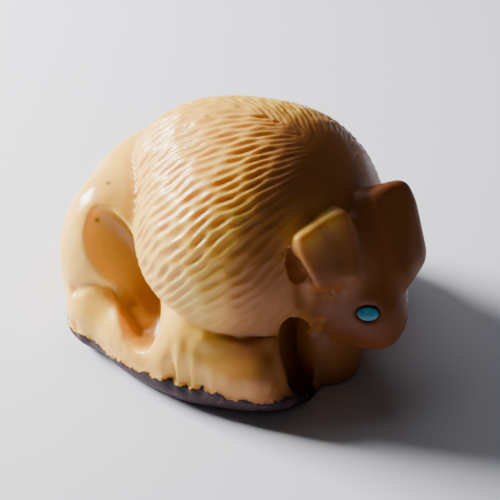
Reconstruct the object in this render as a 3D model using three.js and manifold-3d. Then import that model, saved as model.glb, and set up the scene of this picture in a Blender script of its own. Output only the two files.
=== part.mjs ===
// A lying bison, carved in the round from one palm nut, with two inlaid stone eyes.
// Millimetres. X runs from the rump to the head, Y to the animal's left, Z up.
// The origin is the middle of the flat underside.

import * as THREE from 'three';
import { ConvexGeometry } from 'three/addons/geometries/ConvexGeometry.js';
import { mergeVertices } from 'three/addons/utils/BufferGeometryUtils.js';
import Module from 'manifold-3d';

const wasm = await Module();
wasm.setup();
const { Manifold, Mesh } = wasm;

// Driving dimensions of the raw nut. Places and forms of the figure are hundredths of them.
const nutLength = 50;
const nutWidth = 40;
const nutHeight = 40;

// Fur carving: grooves run from a pole on the crown to the free edge of the mane
const furGrooves = 54;
const furGrooveDepth = 0.38;
const furRows = 14;
const furFadeFrom = 0.25;
const furFadeTo = 0.5;

// How far the mane reaches down from its pole, in degrees: over the back, and less round the throat
const maneReachBack = 108.5;
const maneReachLost = 30;
const maneLossFrom = 0.38;
const maneLossTo = 0.78;
const maneSkirt = 5;

// Eyes: oval stone inlays in drilled sockets
const eyeLength = 2.3;
const eyeHeight = 1.5;
const eyeThickness = 1.1;
const eyeStandsProud = 0.12;
const eyeClearance = 0.12;
const eyeSegments = 16;
const eyeDomeRings = 3;

// Fineness of the faceted forms
const trunkDetail = 12;
const headDetail = 7;
const beardDetail = 4;
const scoopSegments = 16;
const castStep = 0.3;
const castRounds = 14;

const degrees = Math.PI / 180;

// A place in hundredths of the nut's length, width and height
function at(x, y, z) {
  return new THREE.Vector3(x * nutLength, y * nutWidth, z * nutHeight).divideScalar(100);
}

// One rounded form of the figure: its signed distance is below zero inside
function ellipsoid(centre, radii, turn = [0, 0, 0]) {
  const unturn = new THREE.Quaternion()
    .setFromEuler(new THREE.Euler(turn[0] * degrees, turn[1] * degrees, turn[2] * degrees, 'ZYX'))
    .invert();
  const local = new THREE.Vector3();
  return (point) => {
    local.copy(point).sub(centre).applyQuaternion(unturn).divide(radii);
    const scaled = local.length();
    const steep = local.divide(radii).length();
    return steep > 0 ? (scaled * (scaled - 1)) / steep : -radii.x;
  };
}

// A flat cut: the form is everything on the far side of a plane
function beyond(through, facing) {
  const normal = facing.clone().normalize();
  return (point) => through.clone().sub(point).dot(normal);
}

function softMin(a, b, radius) {
  const near = Math.max(radius - Math.abs(a - b), 0) / radius;
  return Math.min(a, b) - (near * near * radius) / 4;
}

// A figure is a list of steps: a form added to or cut from what came before, with a soft edge
const add = (form, soft) => (distance, point) => softMin(distance, form(point), soft);
const cut = (form, soft) => (distance, point) => -softMin(-distance, form(point), soft);

function figure(steps) {
  return (point) => steps.reduce((distance, step) => step(distance, point), Infinity);
}

function mirrored(form) {
  const flipped = new THREE.Vector3();
  return (point) => form(flipped.set(point.x, -point.y, point.z));
}

const bothSides = (step, form, soft) => [step(form, soft), step(mirrored(form), soft)];
const sides = [-1, 1];

// The outermost point of a figure along a ray
function cast(distance, from, direction, reach) {
  const point = new THREE.Vector3();
  const test = (radius) => distance(point.copy(direction).multiplyScalar(radius).add(from));
  let outside = reach;
  while (outside > castStep && test(outside) > 0) {
    outside -= castStep;
  }
  let inside = outside;
  outside += castStep;
  for (let round = 0; round < castRounds; round += 1) {
    const middle = (inside + outside) / 2;
    if (test(middle) > 0) {
      outside = middle;
    } else {
      inside = middle;
    }
  }
  return inside;
}

function solid(geometry) {
  const bare = geometry.clone();
  bare.deleteAttribute('normal');
  bare.deleteAttribute('uv');
  const merged = mergeVertices(bare, 1e-5);
  return new Manifold(new Mesh({
    numProp: 3,
    vertProperties: Float32Array.from(merged.attributes.position.array),
    triVerts: Uint32Array.from(merged.index.array),
  }));
}

function geometryOf(manifold) {
  const mesh = manifold.getMesh();
  const geometry = new THREE.BufferGeometry();
  geometry.setAttribute('position', new THREE.BufferAttribute(Float32Array.from(mesh.vertProperties), 3));
  geometry.setIndex(Array.from(mesh.triVerts));
  return geometry;
}

// A rounded solid: the points of a ball, each moved out to the figure's surface
function carved(distance, from, detail, reach) {
  const bare = new THREE.IcosahedronGeometry(1, detail);
  bare.deleteAttribute('normal');
  bare.deleteAttribute('uv');
  const ball = mergeVertices(bare, 1e-4);
  const place = ball.attributes.position;
  const direction = new THREE.Vector3();
  for (let i = 0; i < place.count; i += 1) {
    direction.fromBufferAttribute(place, i).normalize();
    const radius = cast(distance, from, direction, reach);
    direction.multiplyScalar(radius).add(from);
    place.setXYZ(i, direction.x, direction.y, direction.z);
  }
  return ball;
}

// Trunk, haunches and folded legs
const trunkMiddle = at(-4, 0, 22);

function trunkFigure() {
  const nutBase = ellipsoid(at(0.4, 0, 10), at(44, 49, 22.5));
  const rump = ellipsoid(at(-15, 0, 31), at(28, 36, 29.5));
  const barrel = ellipsoid(at(4, 0, 32), at(28, 38, 29));
  const haunch = ellipsoid(at(-28, -23, 28), at(11.5, 15, 25), [0, 6, 10]);
  const hindFoot = ellipsoid(at(-26, -32, 11), at(8.5, 10.5, 12), [0, 0, -20]);
  const foreleg = ellipsoid(at(16, -30, 13), at(16, 16, 13), [0, 0, 8]);
  const foreArm = ellipsoid(at(4, -37, 16), at(8, 10.5, 15));
  return figure([
    add(nutBase, 0.1),
    add(rump, 2),
    add(barrel, 2),
    ...bothSides(add, haunch, 2.5),
    ...bothSides(add, hindFoot, 1.2),
    ...bothSides(add, foreleg, 1.5),
    ...bothSides(add, foreArm, 2.5),
    cut(beyond(at(30, 0, 0), new THREE.Vector3(1, 0, 0.29)), 0.6),
  ]);
}

// Mane and hump: a cap over the shoulders, whose fur runs back from the crown of the head
const maneMiddle = at(5, 0, 37);
const furPole = new THREE.Vector3(1, 0, 1).normalize();
const furBack = new THREE.Vector3(-1, 0, 1).normalize();
const furSide = new THREE.Vector3(0, -1, 0);

function maneFigure() {
  const shoulders = ellipsoid(at(4.5, -1.2, 37), at(29.5, 42.5, 37));
  const hump = ellipsoid(at(-4.5, -1, 41), at(26.5, 25, 33.5));
  return figure([
    add(shoulders, 1),
    add(hump, 3),
  ]);
}

// The mane's reach from the fur pole, at an angle round it (zero is over the spine)
function maneReach(around) {
  const side = Math.abs(around) / Math.PI;
  return (maneReachBack - maneReachLost * THREE.MathUtils.smoothstep(side, maneLossFrom, maneLossTo)) * degrees;
}

function maneGeometry() {
  const distance = maneFigure();
  const columns = furGrooves * 2;
  const skirtRow = furRows + 1;
  const closingRow = furRows + 2;
  const ball = new THREE.SphereGeometry(1, columns, closingRow);
  const place = ball.attributes.position;
  const direction = new THREE.Vector3();
  for (let row = 0; row <= closingRow; row += 1) {
    for (let column = 0; column <= columns; column += 1) {
      const around = ((column % columns) / columns) * 2 * Math.PI - Math.PI;
      const share = Math.min(row / furRows, 1);
      const down = maneReach(around) * share;
      const out = Math.sin(down);
      direction.copy(furPole).multiplyScalar(Math.cos(down));
      direction.addScaledVector(furBack, out * Math.cos(around));
      direction.addScaledVector(furSide, out * Math.sin(around));
      let radius = cast(distance, maneMiddle, direction, nutLength);
      const fade = THREE.MathUtils.smoothstep(share, furFadeFrom, furFadeTo);
      radius -= column % 2 ? 0 : furGrooveDepth * fade;
      if (row === skirtRow) {
        radius -= maneSkirt;
      }
      if (row === closingRow) {
        radius = 0;
      }
      direction.multiplyScalar(radius).add(maneMiddle);
      place.setXYZ(row * (columns + 1) + column, direction.x, direction.y, direction.z);
    }
  }
  return ball;
}

// Head: turned a little to the animal's right, with the face leaning down and forward
const crown = at(31.2, -4.8, 58.8);
const headTurn = -23;
const faceLean = 30;

function inHead(forward, left, up) {
  return at(forward, left, up).applyAxisAngle(new THREE.Vector3(0, 0, 1), headTurn * degrees).add(crown);
}

// A place on the sloping face: out from it, to the animal's left, and down along it from the crown
function onFace(out, left, down) {
  const lean = faceLean * degrees;
  return inHead(
    (out * Math.cos(lean) + down * Math.sin(lean)),
    left,
    (out * Math.sin(lean) - down * Math.cos(lean)) * nutLength / nutHeight,
  );
}

const headMiddle = inHead(5, 0, -27);

function headFigure() {
  const forehead = ellipsoid(inHead(3, 0, -19), at(7, 12.5, 19), [0, -28, headTurn]);
  const cheeks = ellipsoid(inHead(1.5, 0, -32), at(11, 15.5, 14), [0, 0, headTurn]);
  const muzzle = ellipsoid(inHead(9.6, -0.6, -32.6), at(6.4, 8.6, 10.4), [0, -20, headTurn]);
  return figure([
    add(forehead, 1),
    add(cheeks, 2),
    add(muzzle, 2),
  ]);
}

// Horn and ear in one lug on each side: a hull round the rounded corners of its face and its back.
// The right one is square and short, the left one rounder, longer and a little higher.
const lugCorner = 0.9;
const lugHeel = 2.3;

const lugPlans = {
  right: [
    [0.4, 6.6, 1, lugCorner],
    [0.4, 22, 3.4, lugCorner],
    [-0.8, 20.6, 13, lugCorner],
    [-1.6, 8, 17.4, lugCorner],
    [-6, 6, 1.6, lugCorner],
    [-2.2, 20.2, 4, lugCorner],
    [-9, 19.6, 14, lugCorner],
    [-8, 5, 18, lugCorner],
  ],
  left: [
    [0, 5.5, 0.6, lugCorner],
    [0, 18.2, 1.2, lugCorner],
    [-2.4, 14, 16.8, lugHeel],
    [-1, 5, 20, lugHeel],
    [-6, 3, 0.2, lugCorner],
    [-3, 16.6, 1.6, lugCorner],
    [-6.5, 13.6, 17.4, lugHeel],
    [-8, 4, 16, lugCorner],
  ],
};

function lugGeometry(plan, side) {
  const corner = new THREE.IcosahedronGeometry(1, 1).attributes.position;
  const points = [];
  for (const [out, left, down, radius] of plan) {
    const middle = onFace(out, left * side, down);
    for (let i = 0; i < corner.count; i += 1) {
      points.push(new THREE.Vector3().fromBufferAttribute(corner, i).multiplyScalar(radius).add(middle));
    }
  }
  return new ConvexGeometry(points);
}

// Beard: a rounded block from the jaw down to the ground
const beardMiddle = inHead(-1, -6.3, -42);

function beardFigure() {
  return figure([add(ellipsoid(beardMiddle, at(7.2, 11, 30), [0, 0, headTurn - 8]), 1)]);
}

// A gouge's scoop: a rounded hollow, and its twin on the other side of the body
function scoop(centre, radii, turn) {
  const ball = new THREE.SphereGeometry(1, scoopSegments, scoopSegments / 2);
  ball.scale(radii.x, radii.y, radii.z);
  const turned = new THREE.Euler(turn[0] * degrees, turn[1] * degrees, turn[2] * degrees, 'ZYX');
  ball.applyMatrix4(new THREE.Matrix4().makeRotationFromEuler(turned).setPosition(centre));
  return solid(ball);
}

function scoopPair(place, radii, turn) {
  return sides.map((side) => {
    const centre = at(place[0], place[1] * -side, place[2]);
    return scoop(centre, at(...radii), [turn[0] * -side, turn[1], turn[2] * -side]);
  });
}

// Hollows of the flanks, between the haunch and the overhanging mane
const flankHollows = () => scoopPair([-15.5, -39, 32], [7, 13, 23], [-12, -36, 0]);

// Deep hollows between the forelegs and the beard
const throatHollows = () => scoopPair([24, -22.5, 17], [11, 5.5, 17], [-9, 0, 120]);

// Narrow flutes down the forelegs and between the toes of the hind feet
function flutes() {
  const cuts = [];
  for (let flute = 0; flute < 3; flute += 1) {
    cuts.push(...scoopPair([2.4 + flute * 3.8, -48.7 + flute * 0.3, 13], [1.1, 2.4, 8.5], [0, 4, 0]));
  }
  for (let toe = 0; toe < 2; toe += 1) {
    cuts.push(...scoopPair([-29 + toe * 5.5, -42 - toe * 1.8, 7.5], [1.1, 2.4, 6], [0, 0, -30]));
  }
  return cuts;
}

// Ear hollows in the outer sides of the lugs, behind the front edge
function earHollows() {
  const lean = [0, -faceLean - 8, headTurn];
  return [
    scoop(onFace(-2.8, -22.9, 10.6), at(2.4, 3.4, 9.5), lean),
    scoop(onFace(-4, 20.2, 8), at(2.4, 3.4, 9.5), lean),
  ];
}

// How far round the face each eye lies
const eyeSpreadRight = 7.4;
const eyeSpreadLeft = 14;

// The middle of an eye on the surface of the head, and its own axes: along the oval, across it, out
function eyeFrame(side) {
  const head = headFigure();
  const spread = side > 0 ? eyeSpreadLeft : eyeSpreadRight;
  const outward = onFace(0, spread * side, 25).sub(headMiddle).normalize();
  const middle = outward.clone().multiplyScalar(cast(head, headMiddle, outward, nutLength / 2)).add(headMiddle);
  const steepness = (axis) => {
    const step = new THREE.Vector3().setComponent(axis, castStep);
    return head(middle.clone().add(step)) - head(middle.clone().sub(step));
  };
  const out = new THREE.Vector3(steepness(0), steepness(1), steepness(2)).normalize();
  const along = new THREE.Vector3(0, 0, 1).cross(out).normalize();
  const across = out.clone().cross(along);
  return new THREE.Matrix4().makeBasis(along, across, out).setPosition(middle);
}

function ovalGeometry(profile) {
  const turned = new THREE.LatheGeometry(profile.map(([x, y]) => new THREE.Vector2(x, y)), eyeSegments);
  turned.rotateX(Math.PI / 2);
  return turned.scale(eyeLength / eyeHeight, 1, 1);
}

// A low domed oval stone
function eyeInlayGeometry(side) {
  const radius = eyeHeight / 2;
  const profile = [[0, -eyeThickness], [radius, -eyeThickness], [radius, 0]];
  for (let ring = 1; ring < eyeDomeRings; ring += 1) {
    const turn = (ring / eyeDomeRings) * Math.PI / 2;
    profile.push([radius * Math.cos(turn), eyeStandsProud * Math.sin(turn)]);
  }
  profile.push([0, eyeStandsProud]);
  return ovalGeometry(profile).applyMatrix4(eyeFrame(side));
}

// The drilled seat that an inlay sits in
function eyeSocketGeometry(side) {
  const radius = eyeHeight / 2 + eyeClearance;
  const floor = -eyeThickness - eyeClearance;
  return ovalGeometry([[0, floor], [radius, floor], [radius, eyeThickness], [0, eyeThickness]])
    .applyMatrix4(eyeFrame(side));
}

const finish = {
  nut: new THREE.MeshStandardMaterial({ color: 0xd9b77c, roughness: 0.35, metalness: 0 }),
  stone: new THREE.MeshStandardMaterial({ color: 0x3aa3bd, roughness: 0.4, metalness: 0 }),
};

function carvingGeometry() {
  const trunk = solid(carved(trunkFigure(), trunkMiddle, trunkDetail, nutLength));
  const mane = solid(maneGeometry());
  const head = solid(carved(headFigure(), headMiddle, headDetail, nutLength / 2));
  const beard = solid(carved(beardFigure(), beardMiddle, beardDetail, nutLength / 2));
  const lugs = [lugGeometry(lugPlans.right, -1), lugGeometry(lugPlans.left, 1)].map(solid);
  const sockets = sides.map((side) => solid(eyeSocketGeometry(side)));
  const ground = new THREE.BoxGeometry(nutLength * 3, nutWidth * 3, nutHeight * 2);
  ground.translate(0, 0, -nutHeight);
  const join = (block, piece) => block.add(piece);
  const carve = (block, hollow) => block.subtract(hollow);
  const body = [...flankHollows(), ...flutes()].reduce(carve, trunk).add(mane);
  const block = [head, beard, ...lugs].reduce(join, throatHollows().reduce(carve, body));
  return geometryOf([solid(ground), ...earHollows(), ...sockets].reduce(carve, block));
}

const bison = new THREE.Group();
const carving = new THREE.Mesh(carvingGeometry(), finish.nut);
carving.name = 'bison_carving';
bison.add(carving);
for (const [side, name] of [[-1, 'eye_inlay_right'], [1, 'eye_inlay_left']]) {
  const inlay = new THREE.Mesh(geometryOf(solid(eyeInlayGeometry(side))), finish.stone);
  inlay.name = name;
  bison.add(inlay);
}

export default bison;
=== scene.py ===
"""Looks of a small lying bison carved from one tagua nut, with turquoise eyes. Metres, +Z up."""

import math

import bpy
import numpy as np
from mathutils import Matrix, Vector, noise


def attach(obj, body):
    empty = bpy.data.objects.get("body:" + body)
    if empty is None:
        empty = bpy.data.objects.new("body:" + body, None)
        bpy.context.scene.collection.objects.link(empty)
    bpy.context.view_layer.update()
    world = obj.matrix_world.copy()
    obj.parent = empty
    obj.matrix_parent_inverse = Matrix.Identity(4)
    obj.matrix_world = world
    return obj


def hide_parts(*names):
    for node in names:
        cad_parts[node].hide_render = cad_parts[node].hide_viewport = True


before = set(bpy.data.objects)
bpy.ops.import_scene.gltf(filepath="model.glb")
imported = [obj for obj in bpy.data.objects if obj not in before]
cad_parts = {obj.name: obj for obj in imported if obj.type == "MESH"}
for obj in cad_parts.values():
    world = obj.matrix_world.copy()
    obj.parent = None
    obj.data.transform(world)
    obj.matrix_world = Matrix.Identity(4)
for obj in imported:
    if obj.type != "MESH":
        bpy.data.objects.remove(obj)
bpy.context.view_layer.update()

MM = 0.001

# The photograph's view
VIEW_AZIMUTH = math.radians(30)
VIEW_ELEVATION = math.radians(34)
VIEW_DISTANCE = 200 * MM
VIEW_TARGET = Vector((0.5, 0.4, 10.3)) * MM
PHOTO_PIXELS = 500
PIXELS_PER_MM = 8.2
SENSOR_WIDTH = 36
NEAREST_SEEN = 1.0 * MM

# Surface fineness
MERGE_GAP = 0.001 * MM
GRAIN_OF_BLOCK = 0.27 * MM
FLAT_ANGLE = math.radians(0.05)

# From here on, lengths without a unit are in mm. Unless its comment says otherwise, a pair of numbers
# gives where a change starts and where it is complete.

# The dome of the mane: its middle, the directions of the pole on its crown and of back and near side
# from that pole, and its two rounded forms, each with its middle and radii, blended over a few mm
MANE_MIDDLE = np.array((2.5, 0.0, 14.8))
FUR_POLE = np.array((1.0, 0.0, 1.0)) / math.sqrt(2)
FUR_BACK = np.array((-1.0, 0.0, 1.0)) / math.sqrt(2)
FUR_SIDE = np.array((0.0, -1.0, 0.0))
SHOULDERS = ((2.25, -0.48, 14.8), (14.75, 17.0, 14.8))
HUMP = ((-2.25, -0.4, 16.4), (13.25, 10.0, 13.4))
DOME_SOFT = 3.0
DOME_LEAST_RADIUS = 5.0
DOME_MOST_RADIUS = 30.0
DOME_HALVINGS = 24

# How many degrees the mane reaches down from its pole, how many fewer in front, and over which shares
# of the half turn from back to front it loses them
MANE_REACH = 108.5
MANE_REACH_LOST = 30.0
MANE_REACH_TURN = (0.38, 0.78)

# Where the mane's carving ends: off the dome, past its reach in radians, and near a bare place
OFF_DOME = (0.45, 0.85)
PAST_REACH = (-0.01, 0.02)
NEAR_BARE_PLACE = (0.3, 0.7)

# The locks on each side run back and down from a pole just across the crest
LOCK_POLE = np.array((0.65, 0.35, 0.67)) / np.linalg.norm((0.65, 0.35, 0.67))
LOCK_SIDE = np.cross(LOCK_POLE, (0.0, 0.0, 1.0)) / np.linalg.norm(LOCK_POLE[:2])
LOCK_BACK = np.cross(LOCK_SIDE, LOCK_POLE)
LOCK_LANES = 88

# The locks' gouge strokes: their length and depth and how much more by chance, how they start and end
# as shares of their length, the share of the depth left between them, and by how many strokes one lane
# can be shifted against the next
STROKE_LENGTH = 3.6
STROKE_LENGTH_MORE = 2.2
STROKE_DEPTH = 0.26
STROKE_DEPTH_MORE = 0.16
STROKE_START = (0.0, 0.4)
STROKE_END = (0.6, 1.0)
STROKE_LEAST = 0.45
LANE_SHIFT = 7.0

# Factors that scatter the lanes' and the strokes' numbers into chances
LANE_SCATTER = (12.9898, 43758.5453)
STROKE_SCATTER = (78.233, 37.719, 24634.6345)

# How the lanes wander: strength in lanes, size and seed of each noise
LANE_WANDER = ((0.6, 6.0, 1), (0.2, 2.0, 2))

# The locks grow to their full depth down from the pole, round from the front and in from the mane's
# edge, in radians, and lose some of it over the first mm forward, where the brown and painted shade
# begin
POLE_LOCKS = (math.radians(12), math.radians(48))
FRONT_LOCKS = (math.radians(130), math.radians(80))
EDGE_LOCKS = (0.0, 0.1)
LOCK_LEAST = 0.2
BROWN_LOCKS = (0.0, 5.0)
BROWN_LOCKS_LOST = 0.45

# The fine scratches along the locks grow down from the pole too
POLE_SCRATCHES = (math.radians(8), math.radians(30))
SCRATCH_LEAST = 0.3

# Gouge marks on both sides of the body: a path over the near side, its half width and its depth. A
# depth below zero raises the surface.
BODY_MARKS = (
    (((-14.9, -15.1, 8.4), (-13.6, -15.2, 9.5), (-12.2, -15.0, 10.3), (-9.7, -14.6, 9.8)), 0.7, 0.5),
    (((-9.4, -14.6, 9.6), (-8.4, -14.5, 8.5), (-7.0, -14.7, 7.3), (-5.6, -15.2, 6.2)), 0.9, 0.75),
    (((-6.8, -13.7, 7.6), (-6.1, -14.0, 7.0), (-5.4, -14.4, 6.5)), 0.45, -0.35),
    (((1.2, -18.9, 8.8), (1.2, -19.4, 5.2), (1.3, -19.4, 2.2)), 0.6, 0.12),
    (((3.0, -18.4, 9.2), (3.1, -19.0, 5.2), (3.3, -19.2, 2.2)), 0.6, 0.15),
    (((4.9, -17.9, 9.2), (5.0, -18.6, 5.2), (5.2, -18.8, 2.2)), 0.6, 0.12),
    (((4.8, -17.3, 9.8), (6.9, -16.3, 9.3), (9.5, -15.2, 9.5), (10.8, -13.8, 10.0)), 1.2, -0.55),
    (((11.2, -14.6, 9.3), (13.0, -15.2, 6.5), (14.1, -14.3, 2.4)), 0.6, 0.12),
)

# The near lug's front edge, sharpened and run out down the cheek, the ear hollow behind it with its
# faint back edge, and the valley between the lug and the forehead, filled so that the lug runs into it
EAR_MARKS = (
    (((13.9, -11.3, 21.1), (14.9, -11.3, 19.3), (15.5, -10.4, 16.5)), 0.5, -0.2),
    (((15.7, -10.6, 16.6), (16.1, -10.4, 15.4), (16.4, -10.2, 14.2)), 1.0, -0.6),
    (((13.6, -10.6, 17.6), (13.9, -10.9, 15.8), (14.3, -10.6, 14.2)), 0.9, 0.5),
    (((12.6, -11.0, 21.3), (12.4, -11.2, 19.5), (11.8, -10.0, 16.6)), 0.6, -0.2),
    (((17.9, -6.6, 17.2), (17.4, -5.8, 19.0), (16.7, -5.2, 21.0), (15.9, -4.7, 22.8)), 1.3, -0.7),
)

# From here on, each list of places gives a place and its reach

# Where the locks stop short of the cheek and of the far lug's root
BARE_PLACES = (
    ((14.6, -9.9, 14.8), 2.2),
    ((15.0, -8.7, 12.4), 2.2),
    ((15.0, -1.2, 22.8), 1.4),
)

# Where the lugs, the cheek, the forehead and the hump run into one another and are worked smooth
FACE_JOINS = (
    ((15.5, -10.4, 16.8), 1.9),
    ((15.9, -9.0, 15.8), 1.8),
    ((17.3, -8.3, 16.1), 1.8),
    ((18.1, -6.9, 16.7), 1.8),
    ((16.0, -4.9, 22.9), 1.5),
    ((15.0, -3.8, 23.7), 1.3),
    ((15.0, -1.0, 23.0), 1.6),
    ((16.6, 0.2, 24.0), 1.3),
    ((16.4, -7.8, 13.9), 2.0),
    ((15.2, -8.5, 13.0), 1.8),
    ((22.3, -3.1, 14.6), 1.5),
    ((19.4, 4.4, 23.4), 1.4),
    ((15.0, -4.4, 24.0), 1.4),
)

# Where the foreleg, its flutes and the lower end of the flank's hollow are worked smooth
LEG_JOINS = (
    ((5.4, -17.2, 9.0), 2.6),
    ((8.8, -16.2, 8.9), 2.6),
    ((12.0, -14.2, 8.8), 2.4),
    ((5.6, -18.6, 5.5), 1.6),
    ((1.5, -19.0, 6.0), 1.7),
    ((3.4, -18.9, 6.0), 1.7),
    ((2.4, -19.2, 3.4), 1.5),
    ((-4.3, -18.7, 5.8), 2.2),
    ((-2.6, -18.7, 6.4), 2.2),
    ((-1.9, -17.8, 8.2), 2.0),
)

# Where the flank's hollow is deepest, under the mane, given more painted shade
FLANK_SHADE_NOOKS = (
    ((-7.5, -13.1, 8.4), 3.0),
)

# Where the cheek is painted darkest, as painted shade, and where the near lug's top is painted paler,
# as painted light
PAINTED_CHEEK_SHADE = (
    ((19.5, -8.5, 11.0), 4.5),
)
PAINTED_LUG_LIGHT = (
    ((13.0, -9.6, 22.6), 2.6),
    ((14.6, -6.6, 23.5), 2.2),
)

# Pinholes left in the nut, painted dark as their shade; no hole is cut
PINHOLES = (
    ((-12.8, -9.8, 21.3), 0.3),
    ((-13.0, -12.2, 17.4), 0.3),
    ((-3.2, -3.0, 29.5), 0.3),
)

# The eyes' seats, which stay sharp
EYE_SEATS = (
    ((20.1, -6.8, 12.5), 1.7),
    ((21.5, -0.5, 12.6), 2.2),
)

# The stones: how far each is set in towards the middle of the head, how much it is grown to fill its
# seat, and how its edge is rounded
HEAD_MIDDLE = (18.0, -3.0, 12.5)
EYE_SINKS = (("right", 0.0), ("left", 0.25))
EYE_FIT = 0.12
EYE_EDGE = 0.08 * MM
EYE_EDGE_STEPS = 2
EYE_LEVELS = 2

# The nut's foot: half its length and width, its middle along the body and its mean radius
FOOT_RADII = (22.0, 19.6)
FOOT_MIDDLE = 0.2
FOOT_MEAN_RADIUS = 20.0

# The ragged upper border of the nut's skin: its height, its rise at the sides, its waves round the
# foot, and the strength, size and seed of each noise
SKIN_HEIGHT = 2.4
SKIN_SIDE_RISE = 1.0
SKIN_WAVE = 0.3
SKIN_WAVES = 5.0
SKIN_WAVE_START = 2.0
SKIN_RAGGED = ((0.45, 1.9, 5), (0.3, 0.7, 6))

# The flesh is cut back over a band above that border, far enough out from the foot's middle, as a
# squared share of its radii, and behind the beard. Where the mask of these two is fainter than a small
# share, there is no skin, and its border counts as out of reach.
BAND_DEPTH = 0.32
BAND_START = (-0.15, 0.15)
BAND_END = (0.5, 3.2)
FOOT_OUTSIDE = (0.62, 0.74)
BEARD_START = (15.5, 16.5)
FAINT_SKIN = 0.05
OUT_OF_REACH = 5.0

# Rounds of softening, the share of it in the last one, and its levels of strength
ROUNDS_ALL_OVER = 8
ROUNDS_OFF_MANE = 14
ROUNDS_FACE = 200
ROUNDS_LEGS = 90
ROUNDS_MANE_EDGE = 20
ROUNDS_LAST = 1
SHARE_LAST = 0.5
SOFTEN_LEVELS = 10

# Rounds that lose the narrow grooves and that fill the hollows, and how much deeper the nooks count,
# for the painted shade in the hollows
GROOVE_ROUNDS = 30
HOLLOW_ROUNDS = 240
NOOK_SHADE_DEPTH = 0.55

# How much each mm along and each mm below the low line counts forward, and how much each mm across and
# each mm above the high line counts back
FORWARD_ALONG = 0.86
FORWARD_ACROSS = 0.36
FORWARD_UP = 0.3
FORWARD_DOWN = 0.25
HIGH_LINE = 20.0
LOW_LINE = 14.0

# The brown of the nut, partly its own colour and partly painted shade: how strong it is on the front
# and on the head and where it grows forward, how much of it the forelegs lose and where they end,
# upward and forward, and how much the near lug loses to painted light
FRONT_BROWN_AND_SHADE = 0.74
FRONT_BROWN_AND_SHADE_GROWS = (-3.0, 4.0)
HEAD_BROWN_AND_SHADE = 0.86
HEAD_BROWN_AND_SHADE_GROWS = (5.0, 10.0)
LEG_BROWN_AND_SHADE_LOST = 0.4
LEG_TOP = (7.5, 10.5)
LEG_FRONT = (10.5, 12.5)
PAINTED_LUG_LIGHT_SHARE = 0.75

# Shifts of the noise in space for each seed
SEED_SHIFT = (17.3, 5.1, 9.7)

# Colours of the nut's flesh, by its cloudiness, and the painted shade in its grooves
CREAM_TONES = ((0.3, (0.81, 0.43, 0.045)), (0.55, (0.86, 0.505, 0.065)), (0.75, (0.89, 0.57, 0.09)))
GROOVE_SHADE_TONE = (0.56, 0.25, 0.05)
GROOVE_DEPTHS = (0.05, 0.5)
GROOVE_SHADE_SHARE = 0.45

# Deeper tones, one over another: painted shade in the hollows, the brown, partly painted shade, and the
# pinholes painted dark as their shade. For each, the mask that it follows, where it grows, its share
# and its colour
DEEPER_TONES = (
    ("hollow_shade", (0.05, 0.8), 0.8, (0.38, 0.11, 0.01)),
    ("brown_and_shade", (0.0, 0.55), 0.85, (0.64, 0.235, 0.055)),
    ("brown_and_shade", (0.25, 1.0), 1.0, (0.15, 0.030, 0.005)),
    ("pinhole_shade", (0.0, 1.0), 1.0, (0.03, 0.015, 0.008)),
)

# Colours of the nut's skin, by its fibres, with the height of the nicks in its border and its blur
SKIN_TONES = ((0.3, (0.012, 0.006, 0.008)), (0.52, (0.042, 0.020, 0.026)), (0.72, (0.13, 0.075, 0.085)))
NICK_HEIGHT = 0.9
BORDER_BLUR = 0.06

# Noises of the finishes: features to the metre, or to the scratch, detail, roughness and distortion
CLOUDS = (90.0, 4.0, 0.5, 0.0)
NICKS = (1400.0, 4.0, 0.5, 0.0)
FIBRES = (900.0, 5.0, 0.7, 1.5)
POLISH = (420.0, 3.0, 0.5, 0.0)
GRAIN = (1100.0, 4.0, 0.6, 0.0)
STONE_CLOUDS = (1500.0, 4.0, 0.5, 0.0)
SCRATCHES = (1.0, 3.0, 0.6, 0.4)

# Scratches to each lane and to each mm along it, and their height beside the grain's
SCRATCHES_PER_LANE = 2.6
SCRATCHES_PER_MM = 0.5
SCRATCH_HEIGHT = 1.6
BUMP_STRENGTH = 0.35
BUMP_DISTANCE = 0.12 * MM

# Roughness of the polished flesh, how much more where it is duller, on the skin and in the brown and
# painted shade, and the weight of the polish's clear coat
POLISHED_ROUGHNESS = 0.24
DULL_SPOTS = (0.3, 0.7)
DULLER = 0.12
SKIN_ROUGHER = 0.4
BROWN_AND_SHADE_ROUGHER = 0.22
COAT_WEIGHT = 0.12

# Plain values of the finishes, by the shader's own socket names
NUT_FINISH = {
    "Subsurface Weight": 0.5,
    "Subsurface Radius": (1.0, 0.36, 0.09),
    "Subsurface Scale": 2.6 * MM,
    "IOR": 1.54,
    "Specular IOR Level": 0.3,
    "Coat Roughness": 0.12,
}
STONE_FINISH = {"Roughness": 0.3}
FLOOR_FINISH = {"Base Color": (0.75, 0.78, 0.89, 1.0), "Roughness": 0.9}
STONE_TONES = ((0.3, (0.012, 0.12, 0.20)), (0.5, (0.022, 0.20, 0.32)), (0.7, (0.055, 0.28, 0.40)))

# The floor's size in metres, and each light's place in mm, size in metres, power in watts and colour
FLOOR_SIZE = 3.0
WINDOW = ((-266.0, -28.0, 138.0), 0.11, 4.4, (1.0, 0.97, 0.93))
CEILING = ((-140.0, 120.0, 300.0), 0.3, 0.25, (0.93, 0.96, 1.0))
ROOM_COLOUR = (1.0, 0.89, 0.80)
ROOM_LIGHT = 0.04


# Handling of objects and meshes


def deselect():
    bpy.ops.object.select_all(action="DESELECT")


def choose(thing):
    deselect()
    thing.select_set(True)
    bpy.context.view_layer.objects.active = thing


def apply_modifier(thing, kind, **settings):
    choose(thing)
    modifier = thing.modifiers.new(kind.title(), kind)
    for name, value in settings.items():
        setattr(modifier, name, value)
    bpy.ops.object.modifier_apply(modifier=modifier.name)


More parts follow.
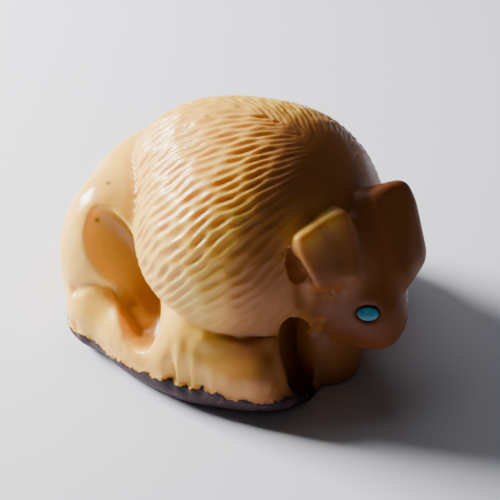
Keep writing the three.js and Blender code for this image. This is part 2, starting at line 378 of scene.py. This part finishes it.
def copy_of_node(node, name):
    """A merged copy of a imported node, ready for finer carving."""
    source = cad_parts[node]
    piece = bpy.data.objects.new(name, source.data.copy())
    bpy.context.scene.collection.objects.link(piece)
    piece.data.materials.clear()
    choose(piece)
    bpy.ops.object.mode_set(mode="EDIT")
    bpy.ops.mesh.select_all(action="SELECT")
    bpy.ops.mesh.remove_doubles(threshold=MERGE_GAP)
    bpy.ops.object.mode_set(mode="OBJECT")
    return piece


def points_of(piece):
    """The vertices in mm."""
    flat = np.empty(len(piece.data.vertices) * 3)
    piece.data.vertices.foreach_get("co", flat)
    return flat.reshape(-1, 3) / MM


def set_points(piece, points):
    piece.data.vertices.foreach_set("co", (points * MM).ravel())
    piece.data.update()


def normals_of(piece):
    flat = np.empty(len(piece.data.vertices) * 3)
    piece.data.vertices.foreach_get("normal", flat)
    return flat.reshape(-1, 3)


def keep_mask(piece, name, values):
    """Stores one number a vertex, for the materials to read."""
    layer = piece.data.attributes.new(name, "FLOAT", "POINT")
    layer.data.foreach_set("value", values.astype(np.float32))


def soften(piece, weights, rounds):
    """Smooths the mesh where the weights say."""
    group = piece.vertex_groups.new(name="soften")
    levels = np.round(weights * SOFTEN_LEVELS).astype(int)
    for level in range(1, SOFTEN_LEVELS + 1):
        chosen = np.flatnonzero(levels == level).tolist()
        if chosen:
            group.add(chosen, level / SOFTEN_LEVELS, "REPLACE")
    apply_modifier(piece, "SMOOTH", vertex_group="soften", iterations=rounds, factor=0.5)
    piece.vertex_groups.remove(piece.vertex_groups["soften"])


# Measures over the surface


def smoothstep(low, high, value):
    share = np.clip((value - low) / (high - low), 0.0, 1.0)
    return share * share * (3.0 - 2.0 * share)


def at_least(least, share):
    """A share from 0 to 1, eased so that it runs from the least to 1."""
    return least + (1.0 - least) * share


def scattered(numbers, size):
    """A repeatable chance from 0 to 1 for each number."""
    return np.modf(np.abs(np.sin(numbers) * size))[0]


def noise_at(points, scale, seed):
    """Smooth noise between about -1 and 1 at points in mm; scale is the size of a feature."""
    shift = Vector([seed * step for step in SEED_SHIFT])
    return np.array([noise.noise(Vector(point) / scale + shift) for point in points])


def noises_at(points, layers):
    """The sum of several noises, each with its strength, size and seed."""
    total = np.zeros(len(points))
    for strength, scale, seed in layers:
        total += strength * noise_at(points, scale, seed)
    return total


def path_distance(points, path):
    """Distance from each point to a path of straight steps."""
    nearest = np.full(len(points), np.inf)
    for start, end in zip(path[:-1], path[1:]):
        start = np.array(start)
        step = np.array(end) - start
        share = np.clip((points - start) @ step / (step @ step), 0.0, 1.0)
        nearest = np.minimum(nearest, np.linalg.norm(points - start - share[:, None] * step, axis=1))
    return nearest


def near_places(points, places):
    """1 at each place, falling to 0 round it."""
    share = np.zeros(len(points))
    for place, reach in places:
        gap = np.linalg.norm(points - np.array(place), axis=1)
        share = np.maximum(share, np.exp(-(gap / reach) ** 2))
    return share


def mirrored(marks):
    return tuple((tuple((x, -y, z) for x, y, z in path), width, depth) for path, width, depth in marks)


def both_sides(places):
    return places + tuple(((x, -y, z), reach) for (x, y, z), reach in places)


def hollowness(piece):
    """How far the surface, without its narrow grooves, lies below a softer copy of it, in mm."""
    points = points_of(piece)
    edges = np.empty(len(piece.data.edges) * 2, dtype=np.int64)
    piece.data.edges.foreach_get("vertices", edges)
    first, second = edges.reshape(-1, 2).T
    ends, others = np.r_[first, second], np.r_[second, first]
    neighbours = np.maximum(np.bincount(ends, minlength=len(points)), 1)
    soft = points.copy()
    for done in range(HOLLOW_ROUNDS):
        if done == GROOVE_ROUNDS:
            broad = soft.copy()
        for axis in range(3):
            total = np.bincount(ends, weights=soft[others, axis], minlength=len(points))
            soft[:, axis] = (soft[:, axis] + total / neighbours) / 2.0
    return ((soft - broad) * normals_of(piece)).sum(axis=1)


def forwardness(points):
    """How far forward each point counts, in mm: less at the sides and high up, more low down."""
    across = FORWARD_ACROSS * np.abs(points[:, 1])
    upward = FORWARD_UP * np.maximum(points[:, 2] - HIGH_LINE, 0.0)
    downward = FORWARD_DOWN * np.maximum(LOW_LINE - points[:, 2], 0.0)
    return FORWARD_ALONG * points[:, 0] - across - upward + downward


# The mane and its locks


def ellipsoid(points, form):
    """About how far each point lies outside a rounded form, in mm."""
    middle, radii = np.array(form[0]), np.array(form[1])
    local = (points - middle) / radii
    scaled = np.linalg.norm(local, axis=1)
    steep = np.linalg.norm(local / radii, axis=1)
    return scaled * (scaled - 1.0) / np.maximum(steep, 1e-9)


def dome_distance(points):
    """About how far each point lies outside the dome, whose two forms run softly into each other."""
    first, second = ellipsoid(points, SHOULDERS), ellipsoid(points, HUMP)
    near = np.maximum(DOME_SOFT - np.abs(first - second), 0.0) / DOME_SOFT
    return np.minimum(first, second) - near * near * DOME_SOFT / 4.0


def dome_radius(directions):
    """How far the dome's surface is from the mane's middle, in each direction."""
    inside = np.full(len(directions), DOME_LEAST_RADIUS)
    outside = np.full(len(directions), DOME_MOST_RADIUS)
    for _ in range(DOME_HALVINGS):
        middle = (inside + outside) / 2.0
        out = dome_distance(MANE_MIDDLE + directions * middle[:, None]) > 0.0
        outside = np.where(out, middle, outside)
        inside = np.where(out, inside, middle)
    return inside


def mane_places(points):
    """Where points lie on the mane: their distance and direction from its middle, their angle round
    the pole from the back, and their angle down from it."""
    arms = points - MANE_MIDDLE
    radius = np.linalg.norm(arms, axis=1)
    direction = arms / radius[:, None]
    around = np.arctan2(direction @ FUR_SIDE, direction @ FUR_BACK)
    down = np.arccos(np.clip(direction @ FUR_POLE, -1.0, 1.0))
    return radius, direction, around, down


def mane_reach(around):
    """How far down from the pole the mane reaches, in radians."""
    front = smoothstep(*MANE_REACH_TURN, np.abs(around) / math.pi)
    return np.radians(MANE_REACH - MANE_REACH_LOST * front)


def lock_places(direction):
    """The lane that each direction lies in, and its angle down from the locks' pole. The far side
    takes those of the near side."""
    folded = direction * (1.0, -1.0, 1.0)
    folded[:, 1] = -np.abs(direction[:, 1])
    lanes = np.arctan2(folded @ LOCK_SIDE, folded @ LOCK_BACK) / (2.0 * math.pi) * LOCK_LANES
    return lanes, np.arccos(np.clip(folded @ LOCK_POLE, -1.0, 1.0))


def lock_depth(points, lanes, along):
    """Depth of the carved locks, in mm: lanes of overlapping gouge strokes."""
    lanes = lanes + noises_at(points, LANE_WANDER)
    lane = np.floor(lanes)
    across = lanes - lane
    lane_chance = scattered(lane * LANE_SCATTER[0], LANE_SCATTER[1])
    stroke_length = STROKE_LENGTH + STROKE_LENGTH_MORE * lane_chance
    step = along / stroke_length + lane_chance * LANE_SHIFT
    stroke = np.floor(step)
    share = step - stroke
    stroke_number = lane * STROKE_SCATTER[0] + stroke * STROKE_SCATTER[1]
    depth = STROKE_DEPTH + STROKE_DEPTH_MORE * scattered(stroke_number, STROKE_SCATTER[2])
    gouge = 1.0 - (2.0 * across - 1.0) ** 2
    run = smoothstep(*STROKE_START, share) * (1.0 - smoothstep(*STROKE_END, share))
    return depth * gouge * at_least(STROKE_LEAST, run)


def carve_mane(piece):
    """Cuts the locks into the dome. Returns the mane's mask and the depth of its grooves."""
    points = points_of(piece)
    radius, direction, around, down = mane_places(points)
    surface = dome_radius(direction)
    on_dome = 1.0 - smoothstep(*OFF_DOME, np.abs(radius - surface))
    reach = mane_reach(around)
    within = 1.0 - smoothstep(*PAST_REACH, down - reach)
    hairy = 1.0 - smoothstep(*NEAR_BARE_PLACE, near_places(points, BARE_PLACES))
    mane = on_dome * within * hairy
    lanes, fall = lock_places(direction)
    along = surface * fall
    chosen = np.flatnonzero(mane > 0.0)
    local = points[chosen]
    depth = lock_depth(local, lanes[chosen], along[chosen])
    below_pole = smoothstep(*POLE_LOCKS, down[chosen])
    behind_front = smoothstep(*FRONT_LOCKS, np.abs(around[chosen]))
    inside_edge = smoothstep(*EDGE_LOCKS, reach[chosen] - down[chosen])
    for share in (below_pole, behind_front, inside_edge):
        depth *= at_least(LOCK_LEAST, share)
    depth *= 1.0 - BROWN_LOCKS_LOST * smoothstep(*BROWN_LOCKS, forwardness(local))
    weight = mane[chosen]
    moved = radius.copy()
    moved[chosen] = radius[chosen] * (1.0 - weight) + (surface[chosen] - depth) * weight
    set_points(piece, MANE_MIDDLE + direction * moved[:, None])
    groove = np.zeros(len(points))
    groove[chosen] = depth * weight
    keep_mask(piece, "fur_lane", lanes)
    keep_mask(piece, "fur_run", along)
    keep_mask(piece, "fur", mane * at_least(SCRATCH_LEAST, smoothstep(*POLE_SCRATCHES, down)))
    return mane, groove


# The rest of the carving


def press(piece, marks):
    """Sinks or raises the surface along paths."""
    points = points_of(piece)
    sink = np.zeros(len(points))
    for path, half_width, depth in marks:
        sink += depth * np.exp(-(path_distance(points, path) / half_width) ** 2)
    set_points(piece, points - normals_of(piece) * sink[:, None])


def skin_height(points):
    """Height of the ragged upper border of the nut's skin, in mm, by the angle round the foot."""
    angle = np.arctan2(points[:, 1] / FOOT_RADII[1], points[:, 0] / FOOT_RADII[0])
    wave = SKIN_WAVE * np.sin(angle * SKIN_WAVES + SKIN_WAVE_START)
    swell = SKIN_HEIGHT + SKIN_SIDE_RISE * np.abs(np.sin(angle)) + wave
    round_foot = np.c_[np.cos(angle), np.sin(angle), np.zeros(len(angle))] * FOOT_MEAN_RADIUS
    return swell + noises_at(round_foot, SKIN_RAGGED)


def carve_skin_border(piece):
    """Cuts the flesh back a little above the border, so that the skin stands as a thin ledge."""
    points = points_of(piece)
    above = points[:, 2] - skin_height(points)
    foot = ((points[:, 0] - FOOT_MIDDLE) / FOOT_RADII[0]) ** 2 + (points[:, 1] / FOOT_RADII[1]) ** 2
    outer = smoothstep(*FOOT_OUTSIDE, foot) * (1.0 - smoothstep(*BEARD_START, points[:, 0]))
    band = smoothstep(*BAND_START, above) * (1.0 - smoothstep(*BAND_END, above)) * outer
    set_points(piece, points - normals_of(piece) * (BAND_DEPTH * band)[:, None])
    return np.where(outer > FAINT_SKIN, above, OUT_OF_REACH)


def brownness_and_shade(points, mane):
    """How brown the nut is, partly its own colour and partly painted shade, from 0 to 1: more towards
    the head, with the cheek painted darkest as shade, less on the legs and with painted light on the
    near lug's top.
    """
    forward = forwardness(points)
    leg = (1.0 - smoothstep(*LEG_TOP, points[:, 2])) * (1.0 - smoothstep(*LEG_FRONT, points[:, 0]))
    front = smoothstep(*FRONT_BROWN_AND_SHADE_GROWS, forward) * FRONT_BROWN_AND_SHADE * (1.0 - LEG_BROWN_AND_SHADE_LOST * leg)
    head = smoothstep(*HEAD_BROWN_AND_SHADE_GROWS, forward) * (1.0 - mane) * (1.0 - leg)
    head = head * at_least(HEAD_BROWN_AND_SHADE, near_places(points, PAINTED_CHEEK_SHADE))
    return np.maximum(front, head) * (1.0 - PAINTED_LUG_LIGHT_SHARE * near_places(points, PAINTED_LUG_LIGHT))


def keep_tone_masks(piece, mane):
    """Stores where the nut gets painted shade in its hollows, where it is brown, partly as painted
    shade, and where its pinholes are painted dark as their shade.
    """
    points = points_of(piece)
    # Painted shade in the hollows, deepest in the flank under the mane
    nooks = NOOK_SHADE_DEPTH * near_places(points, both_sides(FLANK_SHADE_NOOKS))
    keep_mask(piece, "hollow_shade", hollowness(piece) + nooks)
    keep_mask(piece, "brown_and_shade", brownness_and_shade(points, mane))
    # Pinholes painted dark as their shade
    keep_mask(piece, "pinhole_shade", near_places(points, PINHOLES))


def carve_bison():
    piece = copy_of_node("bison_carving", "bison")
    apply_modifier(piece, "REMESH", mode="VOXEL", voxel_size=GRAIN_OF_BLOCK)
    everywhere = np.ones(len(piece.data.vertices))
    soften(piece, everywhere, ROUNDS_ALL_OVER)
    mane, groove = carve_mane(piece)
    soften(piece, 1.0 - mane, ROUNDS_OFF_MANE)
    points = points_of(piece)
    off_eyes = 1.0 - near_places(points, EYE_SEATS)
    soften(piece, near_places(points, FACE_JOINS) * off_eyes * (1.0 - mane), ROUNDS_FACE)
    soften(piece, near_places(points, both_sides(LEG_JOINS)) * (1.0 - mane), ROUNDS_LEGS)
    mane_edge = 4.0 * mane * (1.0 - mane)
    soften(piece, mane_edge, ROUNDS_MANE_EDGE)
    press(piece, BODY_MARKS + mirrored(BODY_MARKS) + EAR_MARKS)
    above_skin = carve_skin_border(piece)
    soften(piece, everywhere * SHARE_LAST, ROUNDS_LAST)
    keep_tone_masks(piece, mane)
    keep_mask(piece, "groove", groove)
    keep_mask(piece, "above_skin", above_skin)
    apply_modifier(piece, "DECIMATE", decimate_type="DISSOLVE", angle_limit=FLAT_ANGLE)
    choose(piece)
    bpy.ops.object.shade_smooth()
    return piece


def make_eye(node, name, sink):
    """A stone; sink is how far it is set in towards the middle of the head, in mm."""
    piece = copy_of_node(node, name)
    points = points_of(piece)
    middle = points.mean(axis=0)
    inward = np.array(HEAD_MIDDLE) - middle
    reach = np.linalg.norm(points - middle, axis=1).max()
    fitted = middle + (points - middle) * (1.0 + EYE_FIT / reach)
    set_points(piece, fitted + inward / np.linalg.norm(inward) * sink)
    apply_modifier(piece, "BEVEL", width=EYE_EDGE, segments=EYE_EDGE_STEPS, limit_method="ANGLE")
    apply_modifier(piece, "SUBSURF", levels=EYE_LEVELS, render_levels=EYE_LEVELS)
    choose(piece)
    bpy.ops.object.shade_smooth()
    return piece


# Handling of materials


def new_material(name, finish):
    """A material whose shader has its plain values set."""
    material = bpy.data.materials.new(name)
    material.use_nodes = True
    shader = material.node_tree.nodes["Principled BSDF"]
    for socket, value in finish.items():
        shader.inputs[socket].default_value = value
    return material, material.node_tree, shader


def plug(tree, value, socket):
    """Sets a socket to a number or a colour, or links it to another node's output."""
    if isinstance(value, tuple):
        socket.default_value = (*value, 1.0)
    elif isinstance(value, (int, float)):
        socket.default_value = value
    else:
        tree.links.new(value, socket)


def math_node(tree, operation, first, second, clamp=False):
    node = tree.nodes.new("ShaderNodeMath")
    node.operation = operation
    node.use_clamp = clamp
    plug(tree, first, node.inputs[0])
    plug(tree, second, node.inputs[1])
    return node.outputs[0]


def times(tree, first, second):
    return math_node(tree, "MULTIPLY", first, second)


def plus(tree, first, second):
    return math_node(tree, "ADD", first, second)


def ramp(tree, value, stops):
    node = tree.nodes.new("ShaderNodeValToRGB")
    while len(node.color_ramp.elements) < len(stops):
        node.color_ramp.elements.new(0.5)
    for element, (place, colour) in zip(node.color_ramp.elements, stops):
        element.position = place
        element.color = (*colour, 1.0)
    tree.links.new(value, node.inputs[0])
    return node.outputs[0]


def mix_colour(tree, share, first, second):
    node = tree.nodes.new("ShaderNodeMix")
    node.data_type = "RGBA"
    plug(tree, share, node.inputs[0])
    plug(tree, first, node.inputs[6])
    plug(tree, second, node.inputs[7])
    return node.outputs[2]


def object_coordinates(tree):
    return tree.nodes.new("ShaderNodeTexCoord").outputs["Object"]


def noise_node(tree, coordinates, values):
    node = tree.nodes.new("ShaderNodeTexNoise")
    tree.links.new(coordinates, node.inputs["Vector"])
    for socket, value in zip(("Scale", "Detail", "Roughness", "Distortion"), values):
        node.inputs[socket].default_value = value
    return node.outputs["Fac"]


def attribute(tree, name):
    node = tree.nodes.new("ShaderNodeAttribute")
    node.attribute_name = name
    return node.outputs["Fac"]


def spread(tree, value, low, high):
    """Runs from 0 to 1 as the value runs from low to high."""
    node = tree.nodes.new("ShaderNodeMapRange")
    tree.links.new(value, node.inputs["Value"])
    node.inputs["From Min"].default_value = low
    node.inputs["From Max"].default_value = high
    return node.outputs["Result"]


# The nut's finish


def flesh_colour(tree, coordinates, clear):
    """Cloudy cream flesh, with painted shade in its grooves and hollows, and brown towards the head,
    partly as painted shade.
    """
    colour = ramp(tree, noise_node(tree, coordinates, CLOUDS), CREAM_TONES)
    # Painted shade in the locks' grooves, fainter in the brown
    shade_in_grooves = times(tree, spread(tree, attribute(tree, "groove"), *GROOVE_DEPTHS), clear)
    colour = mix_colour(tree, times(tree, shade_in_grooves, GROOVE_SHADE_SHARE), colour, GROOVE_SHADE_TONE)
    for mask, grows, most, tone in DEEPER_TONES:
        share = times(tree, spread(tree, attribute(tree, mask), *grows), most)
        colour = mix_colour(tree, share, colour, tone)
    return colour


def skin_mask(tree, coordinates):
    """1 on the nut's skin and 0 on its flesh, with nicks in the border."""
    nicks = math_node(tree, "SUBTRACT", noise_node(tree, coordinates, NICKS), 0.5)
    height = plus(tree, attribute(tree, "above_skin"), times(tree, nicks, NICK_HEIGHT))
    return spread(tree, height, BORDER_BLUR, -BORDER_BLUR)


def nut_roughness(tree, coordinates, skin, brown_and_shade):
    dull = spread(tree, noise_node(tree, coordinates, POLISH), *DULL_SPOTS)
    rough = plus(tree, times(tree, dull, DULLER), POLISHED_ROUGHNESS)
    rough = plus(tree, rough, times(tree, skin, SKIN_ROUGHER))
    return plus(tree, rough, times(tree, brown_and_shade, BROWN_AND_SHADE_ROUGHER))


def scratches(tree):
    """The graver's fine scratches along the carved locks."""
    along = tree.nodes.new("ShaderNodeCombineXYZ")
    plug(tree, times(tree, attribute(tree, "fur_lane"), SCRATCHES_PER_LANE), along.inputs["X"])
    plug(tree, times(tree, attribute(tree, "fur_run"), SCRATCHES_PER_MM), along.inputs["Y"])
    return times(tree, noise_node(tree, along.outputs[0], SCRATCHES), attribute(tree, "fur"))


def worked_surface(tree, coordinates):
    """The nut's fine grain and the scratches on it, as a bump."""
    bump = tree.nodes.new("ShaderNodeBump")
    plug(tree, BUMP_STRENGTH, bump.inputs["Strength"])
    plug(tree, BUMP_DISTANCE, bump.inputs["Distance"])
    grain = noise_node(tree, coordinates, GRAIN)
    height = plus(tree, grain, times(tree, scratches(tree), SCRATCH_HEIGHT))
    plug(tree, height, bump.inputs["Height"])
    return bump.outputs[0]


def nut_material():
    material, tree, shader = new_material("tagua_nut", NUT_FINISH)
    coordinates = object_coordinates(tree)
    # The nut's brown, partly its own colour and partly painted shade towards the head, with painted
    # light on the near lug's top
    brown_and_shade = attribute(tree, "brown_and_shade")
    clear = math_node(tree, "SUBTRACT", 1.0, brown_and_shade, clamp=True)
    skin = skin_mask(tree, coordinates)
    bare = math_node(tree, "SUBTRACT", 1.0, skin)
    flesh = flesh_colour(tree, coordinates, clear)
    skin_colour = ramp(tree, noise_node(tree, coordinates, FIBRES), SKIN_TONES)
    coat = times(tree, times(tree, bare, clear), COAT_WEIGHT)
    plug(tree, mix_colour(tree, skin, flesh, skin_colour), shader.inputs["Base Color"])
    plug(tree, nut_roughness(tree, coordinates, skin, brown_and_shade), shader.inputs["Roughness"])
    plug(tree, coat, shader.inputs["Coat Weight"])
    plug(tree, worked_surface(tree, coordinates), shader.inputs["Normal"])
    return material


def stone_material():
    material, tree, shader = new_material("turquoise", STONE_FINISH)
    clouds = noise_node(tree, object_coordinates(tree), STONE_CLOUDS)
    plug(tree, ramp(tree, clouds, STONE_TONES), shader.inputs["Base Color"])
    return material


# Stage, light and camera


def make_floor():
    deselect()
    bpy.ops.mesh.primitive_plane_add(size=FLOOR_SIZE, location=(0.0, 0.0, 0.0))
    floor = bpy.context.object
    floor.name = "floor"
    floor.data.materials.append(new_material("pale_floor", FLOOR_FINISH)[0])


def soft_light(name, place, size, power, colour):
    lamp = bpy.data.lights.new(name, "AREA")
    lamp.size = size
    lamp.energy = power
    lamp.color = colour
    holder = bpy.data.objects.new(name, lamp)
    bpy.context.scene.collection.objects.link(holder)
    place = Vector(place) * MM
    holder.location = place
    holder.rotation_euler = (VIEW_TARGET - place).to_track_quat("-Z", "Y").to_euler()


def make_lights():
    soft_light("window", *WINDOW)
    soft_light("ceiling", *CEILING)
    world = bpy.data.worlds.new("room")
    world.use_nodes = True
    background = world.node_tree.nodes["Background"]
    background.inputs["Color"].default_value = (*ROOM_COLOUR, 1.0)
    background.inputs["Strength"].default_value = ROOM_LIGHT
    bpy.context.scene.world = world


def make_camera():
    back = Vector((
        math.sin(VIEW_AZIMUTH) * math.cos(VIEW_ELEVATION),
        -math.cos(VIEW_AZIMUTH) * math.cos(VIEW_ELEVATION),
        math.sin(VIEW_ELEVATION),
    ))
    right = Vector((math.cos(VIEW_AZIMUTH), math.sin(VIEW_AZIMUTH), 0.0))
    turn = Matrix((right, back.cross(right), back)).transposed().to_4x4()
    lens = bpy.data.cameras.new("camera")
    lens.sensor_width = SENSOR_WIDTH
    lens.lens = SENSOR_WIDTH * PIXELS_PER_MM * (VIEW_DISTANCE / MM) / PHOTO_PIXELS
    lens.clip_start = NEAREST_SEEN
    camera = bpy.data.objects.new("camera", lens)
    bpy.context.scene.collection.objects.link(camera)
    camera.matrix_world = Matrix.Translation(VIEW_TARGET + back * VIEW_DISTANCE) @ turn
    bpy.context.scene.camera = camera


def build():
    bison = carve_bison()
    bison.data.materials.append(nut_material())
    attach(bison, "root")
    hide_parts("bison_carving")
    stone = stone_material()
    for side, sink in EYE_SINKS:
        eye = make_eye("eye_inlay_" + side, "turquoise_eye_" + side, sink)
        eye.data.materials.append(stone)
        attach(eye, "root")
        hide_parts("eye_inlay_" + side)


make_camera()
make_lights()
make_floor()
build()
